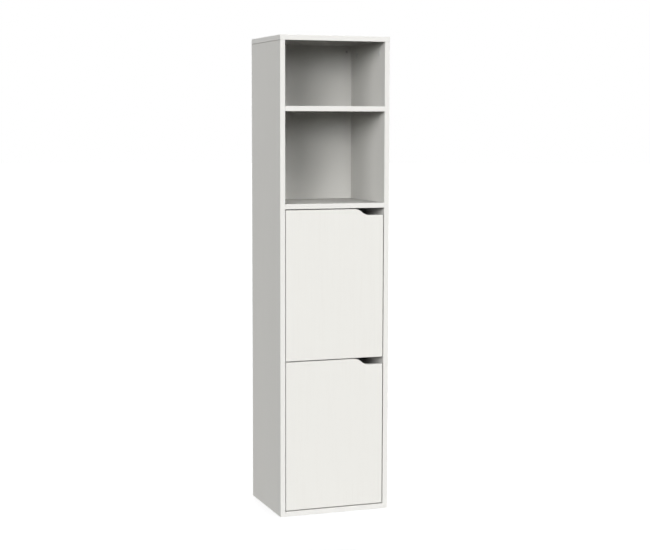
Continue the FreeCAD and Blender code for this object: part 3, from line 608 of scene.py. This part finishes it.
def solids_of(node: bpy.types.Object) -> list[tuple[Vector, Vector]]:
    """Find the separate solids that a node of the frame holds.

    Args:
        node: The node's object.

    Returns:
        The lowest and highest corner of each, sorted by place.
    """
    mesh = bmesh.new()
    mesh.from_mesh(node.data)
    bmesh.ops.remove_doubles(mesh, verts=mesh.verts, dist=WELD)
    boxes, left = [], set(mesh.verts)
    while left:
        reached, edge = set(), [left.pop()]
        while edge:
            vert = edge.pop()
            reached.add(vert)
            for link in vert.link_edges:
                other = link.other_vert(vert)
                if other in left:
                    left.discard(other)
                    edge.append(other)
        places = [vert.co for vert in reached]
        boxes.append((Vector(map(min, zip(*places))), Vector(map(max, zip(*places)))))
    mesh.free()
    return sorted(boxes, key=lambda box: [round(value, 4) for value in box[0]])


def new_piece(name: str, mesh: bmesh.types.BMesh, smooth_degrees: float = 35.0) -> bpy.types.Object:
    """Turn finished mesh data into an object of the scene.

    Args:
        name: The object's name.
        mesh: The mesh, which is freed.
        smooth_degrees: Edges sharper than this stay sharp.

    Returns:
        The object.
    """
    for face in mesh.faces:
        face.smooth = True
    for edge in mesh.edges:
        edge.smooth = edge.is_manifold and edge.calc_face_angle(0.0) < math.radians(smooth_degrees)
    data = bpy.data.meshes.new(name)
    mesh.to_mesh(data)
    mesh.free()
    obj = bpy.data.objects.new(name, data)
    bpy.context.scene.collection.objects.link(obj)
    return obj


def turned(mesh: bmesh.types.BMesh, profile: Profile, segments: int) -> None:
    """Add a closed solid of revolution about Z.

    Args:
        mesh: The mesh that it is added to.
        profile: Radius and height of each ring, from the foot up. Both ends have a radius of 0.
        segments: Faces around.
    """
    rings = []
    for radius, height in profile:
        if radius == 0:
            rings.append([mesh.verts.new((0, 0, height))])
            continue
        angles = [2 * math.pi * step / segments for step in range(segments)]
        rings.append([mesh.verts.new((radius * math.cos(a), radius * math.sin(a), height)) for a in angles])
    for low, high in zip(rings, rings[1:]):
        for step in range(segments):
            after = (step + 1) % segments
            face = [low[step % len(low)], low[after % len(low)],
                    high[after % len(high)], high[step % len(high)]]
            mesh.faces.new(list(dict.fromkeys(face)))


@dataclass(frozen=True)
class CrossScrew:
    """A screw with a cross recess. Its seat is at the origin and its head points along +Z.

    The recess's reach and slot and the crown are shares of the head's radius, and the recess's depth and
    the rim shares of the head's height. The recess's foot is its outline times the taper. The core is a
    share of the shank's radius, the point of the core's, and the flank and crest of the thread's pitch.
    first_turn is how far the first screw of a group is turned about its axis, in radians.
    """

    head_radius: float
    head: float
    shank_radius: float
    length: float
    recess_reach: float = 0.55
    recess_slot: float = 0.16
    recess_taper: float = 0.45
    recess_depth: float = 1.15
    overcut: float = 0.5 * MM
    rim_share: float = 0.35
    crown_share: float = 0.38
    crown_steps: int = 6
    neck: float = 0.4 * MM
    core_share: float = 0.72
    pitch: float = 0.9 * MM
    flank_share: float = 0.38
    crest_share: float = 0.12
    tip: float = 1.2 * MM
    point_share: float = 0.35
    point_rise: float = 0.3 * MM
    first_turn: float = 0.4
    segments: int = 40

    def mesh(self) -> bmesh.types.BMesh:
        """Turn the screw and cut its cross recess.

        Returns:
            The screw's mesh.
        """
        body = bmesh.new()
        turned(body, self._profile(), self.segments)
        bmesh.ops.recalc_face_normals(body, faces=body.faces)
        screw = new_piece("screw_blank", body)
        cutter = new_piece("screw_cutter", self._cross())
        cut = screw.modifiers.new("recess", "BOOLEAN")
        cut.operation, cut.solver, cut.object = "DIFFERENCE", "EXACT", cutter
        graph = bpy.context.evaluated_depsgraph_get()
        result = bmesh.new()
        result.from_mesh(screw.evaluated_get(graph).to_mesh())
        for blank in (screw, cutter):
            data = blank.data
            bpy.data.objects.remove(blank)
            bpy.data.meshes.remove(data)
        return result

    def _profile(self) -> Profile:
        """Give the screw's outline: tip, thread, neck and rounded head.

        Returns:
            The radius and height of each ring, from the tip up.
        """
        shank, core = self.shank_radius, self.core_share * self.shank_radius
        flank, crest = self.flank_share * self.pitch, self.crest_share * self.pitch
        points = [(0.0, -self.length), (self.point_share * core, self.point_rise - self.length)]
        height = self.tip - self.length
        while height < -self.tip:
            points += [(core, height), (shank, height + flank),
                       (shank, height + flank + crest), (core, height + flank + crest + flank)]
            height += self.pitch
        points += [(shank, -self.neck), (shank, 0.0), (self.head_radius, 0.0)]
        rim = self.rim_share * self.head
        points.append((self.head_radius, rim))
        for step in range(1, self.crown_steps + 1):
            turn = 0.5 * math.pi * step / self.crown_steps
            inward = self.crown_share * (1 - math.cos(turn))
            points.append((self.head_radius * (1 - inward), rim + (self.head - rim) * math.sin(turn)))
        return points + [(0.0, self.head)]

    def _cross(self) -> bmesh.types.BMesh:
        """Make the tapered cross that cuts the recess.

        Returns:
            The cutter's mesh.
        """
        cross = bmesh.new()
        reach, slot = self.recess_reach * self.head_radius, self.recess_slot * self.head_radius
        low, high = (1 - self.recess_depth) * self.head, self.head + self.overcut
        outline = []
        for x, y in ((1, 0), (0, 1), (-1, 0), (0, -1)):
            outline.append((reach * x + slot * y, reach * y - slot * x))
            outline.append((reach * x - slot * y, reach * y + slot * x))
            outline.append((slot * (x - y), slot * (x + y)))
        foot = [cross.verts.new((self.recess_taper * x, self.recess_taper * y, low)) for x, y in outline]
        top = [cross.verts.new((x, y, high)) for x, y in outline]
        for step in range(len(outline)):
            after = (step + 1) % len(outline)
            cross.faces.new([foot[step], foot[after], top[after], top[step]])
        cross.faces.new(list(reversed(foot)))
        cross.faces.new(top)
        bmesh.ops.recalc_face_normals(cross, faces=cross.faces)
        return cross


def screws_at(name: str, screw: CrossScrew, seats: list[Vector], out: Vector,
              spin: float) -> bpy.types.Object:
    """Set copies of one screw on their seats, as one piece.

    Args:
        name: The piece's name.
        screw: The screw.
        seats: Where each head seats.
        out: The direction that the heads point in.
        spin: How far each next screw is turned about its axis, in radians.

    Returns:
        The piece.
    """
    master = screw.mesh()
    data = bpy.data.meshes.new(name + "_one")
    master.to_mesh(data)
    master.free()
    joined = bmesh.new()
    upright = out.to_track_quat("Z", "Y").to_matrix().to_4x4()
    for count, seat in enumerate(seats):
        before = len(joined.verts)
        joined.from_mesh(data)
        joined.verts.ensure_lookup_table()
        turn = Matrix.Rotation(screw.first_turn + spin * count, 4, "Z")
        place = Matrix.Translation(seat) @ upright @ turn
        bmesh.ops.transform(joined, matrix=place, verts=joined.verts[before:])
    bpy.data.meshes.remove(data)
    return new_piece(name, joined)


# ---------------------------------------------------------------- the cabinet's sub-assemblies

@dataclass
class SubAssembly:
    """Pieces that are made and dressed together."""

    frame: dict
    fittings: Fittings = field(default_factory=Fittings)

    def node(self, name: str) -> bpy.types.Object:
        """Give the frame's object of that name."""
        return self.frame["nodes"][name]

    def dress_nodes(self, names: list[str], material: bpy.types.Material) -> None:
        """Give several nodes of the frame one finish, and report each.

        Args:
            names: The nodes.
            material: Their finish.
        """
        for name in names:
            dress(self.node(name), material)
            LOG.info("%s is finished in %s", name, material.name)


@dataclass
class Carcass(SubAssembly):
    """The sides, the top panel and the boards fixed between the sides."""

    def build(self) -> None:
        """Finish every board of the carcass."""
        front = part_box("bottom_panel")[0][Axis.Y.value]
        divider_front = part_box("bay_divider")[0][Axis.Y.value]
        upright = Melamine("melamine_sides", Axis.Z, Axis.X, front=front)
        level = Melamine("melamine_shelves", Axis.X, Axis.Z, front=front)
        divider = Melamine("melamine_divider", Axis.X, Axis.Z, front=divider_front)
        top = Melamine("melamine_top", Axis.X, Axis.Z, Banding.FRONT_AND_ENDS)
        self.dress_nodes(["left_side_panel", "right_side_panel"], upright.build())
        self.dress_nodes(["display_shelf", "door_head_shelf", "bottom_panel"], level.build())
        self.dress_nodes(["bay_divider"], divider.build())
        self.dress_nodes(["top_panel"], top.build())


@dataclass
class BackPanel(SubAssembly):
    """The thin back panel and the nails that hold it."""

    def build(self) -> None:
        """Finish the panel and its nails."""
        self.dress_nodes(["back_panel"], Hardboard("painted_hardboard").build())
        self.dress_nodes(["back_panel_nails"], self.fittings.zinc.build())


@dataclass
class WallHolePlugs(SubAssembly):
    """The plastic plugs pushed into the two wall-fixing holes of the back panel, from the bay's side."""

    stem_play: float = 0.1 * MM
    stem: float = 2.8 * MM
    stem_taper: float = 0.8
    lead_share: float = 0.3
    flange_radius: float = 4.0 * MM
    flange: float = 0.7 * MM
    rim_steps: int = 5
    dimple_radius: float = 2.0 * MM
    dimple_taper: float = 0.85
    dimple: float = 0.5 * MM
    segments: int = 36
    # The plugs' grey, darker than the white caps, is painted shade that stands in for the shadow inside the
    # wall holes; the plugs themselves and the shade in their dimples are real.
    finish: MouldedPlastic = MouldedPlastic("shade_grey_plug_plastic", srgb(212, 212, 208), srgb(202, 202, 198))

    def build(self) -> None:
        """Make both plugs as one piece, where the record says that the holes are."""
        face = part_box("back_panel")[0][Axis.Y.value]
        holes = next(mount for mount in self.frame["record"]["mounts"] if mount["name"] == "wall_fixings")
        spacing, height = holes["dims"]["spacing_x_mm"] * MM, holes["pos_m"][Axis.Z.value]
        profile = self._profile(holes["dims"]["hole_r_mm"] * MM - self.stem_play)
        mesh = bmesh.new()
        upright = Vector((0, -1, 0)).to_track_quat("Z", "Y").to_matrix().to_4x4()
        for side in (-1, 1):
            before = len(mesh.verts)
            turned(mesh, profile, self.segments)
            mesh.verts.ensure_lookup_table()
            seat = Matrix.Translation((side * spacing / 2, face, height))
            bmesh.ops.transform(mesh, matrix=seat @ upright, verts=mesh.verts[before:])
        bmesh.ops.recalc_face_normals(mesh, faces=mesh.faces)
        plugs = new_piece("wall_hole_plugs", mesh)
        dress(plugs, self.finish.build())
        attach(plugs, "cabinet")
        LOG.info("%s are in their holes", plugs.name)

    def _profile(self, radius: float) -> Profile:
        """Give a plug's outline: stem, thin flange with a rounded rim, and a dimple in the middle.

        Args:
            radius: The stem's radius.

        Returns:
            The radius and height of each ring, from the stem's end up.
        """
        lead = (1 - self.lead_share) * self.stem
        points = [(0.0, -self.stem), (self.stem_taper * radius, -self.stem), (radius, -lead),
                  (radius, 0.0), (self.flange_radius, 0.0)]
        rim = self.flange / 2
        for step in range(self.rim_steps + 1):
            turn = 0.5 * math.pi * step / self.rim_steps
            points.append((self.flange_radius - rim * (1 - math.cos(turn)), rim * (1 + math.sin(turn))))
        floor = self.flange - self.dimple
        foot = self.dimple_taper * self.dimple_radius
        return points + [(self.dimple_radius, self.flange), (foot, floor), (0.0, floor)]


@dataclass
class AdjustableShelves(SubAssembly):
    """The loose shelf in each door bay, on its pins."""

    def build(self) -> None:
        """Finish the shelves and the pins."""
        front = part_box("upper_shelf")[0][Axis.Y.value]
        board = Melamine("melamine_loose_shelves", Axis.X, Axis.Z, front=front)
        self.dress_nodes(["upper_shelf", "lower_shelf"], board.build())
        self.dress_nodes(["upper_shelf_pins", "lower_shelf_pins"], self.fittings.zinc.build())


@dataclass
class JointHardware(SubAssembly):
    """The bolts, cams, caps and dowels that hold the fixed boards to the sides."""

    def build(self) -> None:
        """Finish all joint hardware."""
        self.dress_nodes(["cam_bolts", "cam_locks"], self.fittings.zinc.build())
        self.dress_nodes(["cam_cover_caps"], self.fittings.plastic.build())
        self.dress_nodes(["wood_dowels"], self.fittings.beech.build())


@dataclass
class DoorLeaf(SubAssembly):
    """One inset door with the screws of its hinge cups."""

    body: str = "upper_door"
    screw: CrossScrew = CrossScrew(head_radius=3.4 * MM, head=1.8 * MM,
                                   shank_radius=1.75 * MM, length=11 * MM)
    spin: float = 1.1

    def build(self) -> None:
        """Finish the door and set its cup screws, whose heads point to the back."""
        leaf = Melamine(f"melamine_{self.body}", Axis.Z, Axis.Y, Banding.ALL)
        self.dress_nodes([f"{self.body}_panel"], leaf.build())
        node = f"{self.body}_cup_screws"
        seats = []
        for low, high in solids_of(self.node(node)):
            seats.append(Vector(((low.x + high.x) / 2, high.y - self.screw.head, (low.z + high.z) / 2)))
        name = f"{self.body}_cross_cup_screws"
        screws = screws_at(name, self.screw, seats, Vector((0, 1, 0)), self.spin)
        dress(screws, self.fittings.zinc.build())
        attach(screws, self.body)
        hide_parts(node)
        LOG.info("%s has %d screws", screws.name, len(seats))


@dataclass
class CupHinges(SubAssembly):
    """The four concealed hinges and the screws that hold them to the side."""

    plate_screw: CrossScrew = CrossScrew(head_radius=3.4 * MM, head=1.8 * MM,
                                         shank_radius=1.75 * MM, length=13.5 * MM)
    clamp_screw: CrossScrew = CrossScrew(head_radius=3.5 * MM, head=1.6 * MM,
                                         shank_radius=2.0 * MM, length=5.5 * MM)
    spin: float = 0.9

    def build(self) -> None:
        """Finish the hinges and set their screws."""
        nickel, spring = self.fittings.nickel.build(), self.fittings.spring.build()
        for door in ("upper_door", "lower_door"):
            for end in ("bottom", "top"):
                hinge = f"{door}_{end}_hinge_"
                self.dress_nodes([hinge + part for part in ("arm", "cup", "plate", "pin")], nickel)
                self.dress_nodes([hinge + "spring"], spring)
        self._set("hinge_plate_screws", "hinge_plate_cross_screws", self.plate_screw)
        self._set("hinge_clamp_screws", "hinge_clamp_cross_screws", self.clamp_screw)

    def _set(self, node: str, name: str, screw: CrossScrew) -> None:
        """Set a group of screws whose heads point into the cabinet.

        Args:
            node: The frame's node that they stand for.
            name: The new piece's name.
            screw: The screw.
        """
        seats = []
        for low, high in solids_of(self.node(node)):
            seats.append(Vector((high.x - screw.head, (low.y + high.y) / 2, (low.z + high.z) / 2)))
        piece = screws_at(name, screw, seats, Vector((1, 0, 0)), self.spin)
        dress(piece, self.fittings.zinc.build())
        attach(piece, "cabinet")
        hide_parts(node)
        LOG.info("%s has %d screws", name, len(seats))


# ---------------------------------------------------------------- the studio

@dataclass
class PhotoCamera:
    """The camera that stands where the photograph's stood."""

    place: tuple[float, float, float] = (-1.608, -4.539, 1.236)
    azimuth: float = math.radians(19.732)
    elevation: float = math.radians(-5.847)
    roll: float = math.radians(0.113)
    focal_pixels: float = 1501.7
    width_pixels: int = 650
    sensor: float = 36.0
    far_clip: float = 200.0

    def build(self) -> bpy.types.Object:
        """Set up the camera and make it the scene's own.

        Returns:
            The camera.
        """
        ahead = Vector((math.sin(self.azimuth) * math.cos(self.elevation),
                        math.cos(self.azimuth) * math.cos(self.elevation), math.sin(self.elevation)))
        level = Vector((math.cos(self.azimuth), -math.sin(self.azimuth), 0.0))
        upright = level.cross(ahead)
        right = math.cos(self.roll) * level + math.sin(self.roll) * upright
        up = math.cos(self.roll) * upright - math.sin(self.roll) * level
        data = bpy.data.cameras.new("photo_camera")
        data.sensor_width = self.sensor
        data.lens = self.focal_pixels * self.sensor / self.width_pixels
        data.clip_end = self.far_clip
        camera = bpy.data.objects.new("photo_camera", data)
        turn = Matrix((right, up, -ahead)).transposed().to_4x4()
        camera.matrix_world = Matrix.Translation(self.place) @ turn
        bpy.context.scene.collection.objects.link(camera)
        bpy.context.scene.camera = camera
        return camera


@dataclass(frozen=True)
class SoftLight:
    """A far, wide studio light. It falls evenly over the whole height of the cabinet.

    Azimuth 0 is in front of the cabinet and 90 to its right. All angles are in degrees. bounces is how
    often its light is passed on: with 0 it lights directly only, which keeps the open bays deep in shade.
    """

    name: str
    azimuth: float
    elevation: float
    strength: float
    spread: float = 20.0
    bounces: int = 0
    distance: float = 5.0

    def build(self) -> bpy.types.Object:
        """Hang the light.

        Returns:
            The light.
        """
        data = bpy.data.lights.new(self.name, "SUN")
        data.angle = math.radians(self.spread)
        data.energy = self.strength
        data.cycles.max_bounces = self.bounces
        turn, rise = math.radians(self.azimuth), math.radians(self.elevation)
        away = Vector((math.sin(turn) * math.cos(rise), -math.cos(turn) * math.cos(rise), math.sin(rise)))
        light = bpy.data.objects.new(self.name, data)
        aim = away.to_track_quat("Z", "Y").to_matrix().to_4x4()
        light.matrix_world = Matrix.Translation(self.distance * away) @ aim
        bpy.context.scene.collection.objects.link(light)
        return light


@dataclass
class Studio:
    """The white floor, the pale surroundings and the lamps.

    surround is how bright the surroundings are as a light, and floor_glow how much white the floor adds
    to what it shows.
    """

    radius: float = 40.0
    segments: int = 96
    floor_grey: Colour = srgb(172, 172, 172)
    floor_fleck: Colour = srgb(168, 168, 168)
    flecks_per_metre: float = 3.0
    surround: float = 0.010
    floor_glow: float = 0.80
    lights: tuple[SoftLight, ...] = (
        SoftLight("left_side_light", -65.0, 14.0, 0.62),
        SoftLight("left_corner_light", -50.0, 14.0, 0.12),
        SoftLight("left_low_light", -35.0, 10.0, 1.00),
        SoftLight("left_raised_light", -35.0, 24.0, 0.27),
        SoftLight("left_reflected_light", -35.0, 16.0, 0.12, bounces=1),
        SoftLight("middle_reflected_light", 0.0, 12.0, 0.30, bounces=1),
        SoftLight("middle_high_light", 0.0, 42.0, 0.72, spread=30.0),
        SoftLight("right_low_light", 30.0, 12.0, 0.25),
        SoftLight("right_raised_light", 35.0, 24.0, 0.34),
        SoftLight("right_side_light", 50.0, 16.0, 0.33),
        SoftLight("right_face_light", 94.0, 14.0, 0.60),
        SoftLight("rear_light", 165.0, 40.0, 1.60, spread=30.0),
    )

    def build(self) -> None:
        """Lay the floor and set up all light."""
        self._floor()
        self._surroundings()
        for light in self.lights:
            light.build()
            LOG.info("%s is up", light.name)

    def _floor(self) -> bpy.types.Object:
        """Lay the round white floor.

        Returns:
            The floor.
        """
        disc = bmesh.new()
        bmesh.ops.create_circle(disc, cap_ends=True, segments=self.segments, radius=self.radius)
        floor = new_piece("studio_floor", disc)
        dress(floor, self._floor_paint())
        return floor

    def _floor_paint(self) -> bpy.types.Material:
        """Paint the floor: it takes the cabinet's shadow, and shows white to the camera and in gloss.

        Returns:
            The paint.
        """
        sheet = NodeSheet("studio_floor_paint")
        flecks = sheet.noise(self.flecks_per_metre, detail=2.0)
        tone = sheet.blend(flecks, self.floor_grey, self.floor_fleck)
        matt = sheet.add("ShaderNodeBsdfDiffuse", {"Color": tone})
        strength = sheet.math("MULTIPLY", sheet.seen(), self.floor_glow)
        glow = sheet.add("ShaderNodeEmission", {"Color": WHITE, "Strength": strength})
        both = sheet.add("ShaderNodeAddShader", {0: matt.outputs[0], 1: glow.outputs[0]})
        sheet.add("ShaderNodeOutputMaterial", {0: both.outputs[0]})
        return sheet.material

    def _surroundings(self) -> None:
        """Make the world white to look at and dimmer as a light."""
        world = bpy.data.worlds.new("studio_surroundings")
        bpy.context.scene.world = world
        nodes = NodeTree(world)
        strength = nodes.remap(nodes.seen(), FULL, (self.surround, 1.0))
        glow = nodes.add("ShaderNodeBackground", {"Color": WHITE, "Strength": strength})
        nodes.add("ShaderNodeOutputWorld", {0: glow.outputs[0]})


def main() -> None:
    """Load the frame, set up the camera, build every sub-assembly in order, and light the studio."""
    logging.basicConfig(level=logging.INFO, format="%(name)s: %(message)s")
    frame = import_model()
    camera = PhotoCamera().build()
    LOG.info("%s looks along the photograph's line", camera.name)
    fittings = Fittings()
    Carcass(frame, fittings).build()
    BackPanel(frame, fittings).build()
    WallHolePlugs(frame, fittings).build()
    AdjustableShelves(frame, fittings).build()
    JointHardware(frame, fittings).build()
    for body in ("upper_door", "lower_door"):
        DoorLeaf(frame, fittings, body).build()
    CupHinges(frame, fittings).build()
    Studio().build()
    bpy.context.scene.view_settings.view_transform = "Standard"


if __name__ == "__main__":
    main()
